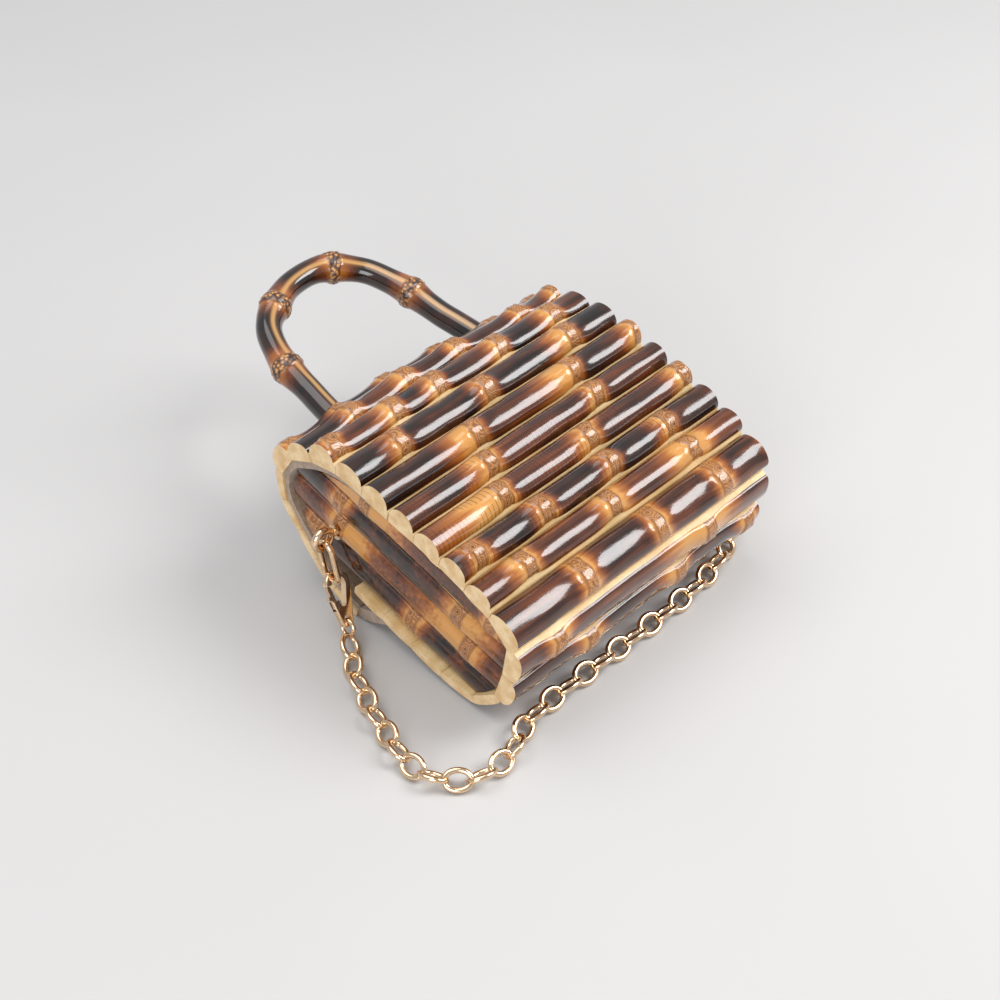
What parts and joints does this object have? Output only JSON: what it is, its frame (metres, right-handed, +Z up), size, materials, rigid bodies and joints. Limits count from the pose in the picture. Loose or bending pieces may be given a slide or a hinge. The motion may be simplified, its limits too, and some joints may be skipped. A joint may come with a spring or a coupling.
{
  "type": "box bag",
  "caption": "Small box bag of split, burnt and lacquered bamboo canes with an arched hinged lid, a bamboo root handle and a clip-on gilt chain, lying on its back.",
  "frame": {"origin": "centre of the bottom of the bag's box as it lies on its back, without the chain", "axes": "+X along the canes towards the bag's right end, +Y from the base towards the lid and handle, +Z up; the bag's front face looks up"},
  "size_m": [0.2553, 0.262, 0.1015],
  "materials": {
    "lacquered_bamboo": "glossy lacquer over burnt bamboo, dark brown to amber",
    "root_bamboo": "glossy lacquer over burnt bamboo root",
    "board": "plain plywood, sealed",
    "lining_cloth": "brown ribbed fleece",
    "gilt_metal": "polished pale gilt plate",
    "steel": "plain zinc plate"
  },
  "bodies": {
    "body": {"front_cane_1": "lacquered_bamboo", "front_cane_2": "lacquered_bamboo", "front_cane_3": "lacquered_bamboo", "front_cane_4": "lacquered_bamboo", "front_cane_5": "lacquered_bamboo", "base_cane_1": "lacquered_bamboo", "base_cane_2": "lacquered_bamboo", "back_slat_1": "lacquered_bamboo", "back_slat_2": "lacquered_bamboo", "back_slat_3": "lacquered_bamboo", "back_slat_4": "lacquered_bamboo", "back_slat_5": "lacquered_bamboo", "end_board_left": "board", "end_cane_left_1": "lacquered_bamboo", "end_cane_left_2": "lacquered_bamboo", "end_cane_left_3": "lacquered_bamboo", "end_cane_left_4": "lacquered_bamboo", "end_board_right": "board", "end_cane_right_1": "lacquered_bamboo", "end_cane_right_2": "lacquered_bamboo", "end_cane_right_3": "lacquered_bamboo", "end_cane_right_4": "lacquered_bamboo", "body_fleece": "lining_cloth", "hinge_cloth": "lining_cloth", "magnets_body": "steel", "screw_eye_left": "gilt_metal", "oval_link_left": "gilt_metal", "clasp_left": "gilt_metal", "end_ring_left": "gilt_metal", "gate_pin_left": "steel", "screw_eye_right": "gilt_metal", "oval_link_right": "gilt_metal", "clasp_right": "gilt_metal", "end_ring_right": "gilt_metal", "gate_pin_right": "steel", "chain": "gilt_metal"},
    "lid": {"lid_cane_1": "lacquered_bamboo", "lid_cane_2": "lacquered_bamboo", "lid_cane_3": "lacquered_bamboo", "lid_cane_4": "lacquered_bamboo", "lid_cane_5": "lacquered_bamboo", "lid_slat_1": "lacquered_bamboo", "lid_slat_2": "lacquered_bamboo", "lid_slat_3": "lacquered_bamboo", "lid_slat_4": "lacquered_bamboo", "lid_slat_5": "lacquered_bamboo", "lid_fleece": "lining_cloth", "handle": "root_bamboo", "handle_screws": "steel", "magnets_lid": "steel"},
    "gate_left": {"gate_left": "gilt_metal"},
    "gate_right": {"gate_right": "gilt_metal"}
  },
  "joints": [
    {"name": "lid_hinge", "type": "hinge", "parent": "body", "child": "lid", "pos_m": [0, -0.01334, 0.00003], "axis": [-1, 0, 0], "range_deg": [0, 105]},
    {"name": "gate_left_hinge", "type": "hinge", "parent": "body", "child": "gate_left", "pos_m": [-0.09864, -0.01557, 0.01826], "axis": [-0.18, 0.8, -0.5724], "range_deg": [0, 20]},
    {"name": "gate_right_hinge", "type": "hinge", "parent": "body", "child": "gate_right", "pos_m": [0.09864, -0.01557, 0.01826], "axis": [-0.18, -0.8, 0.5724], "range_deg": [0, 20]}
  ]
}
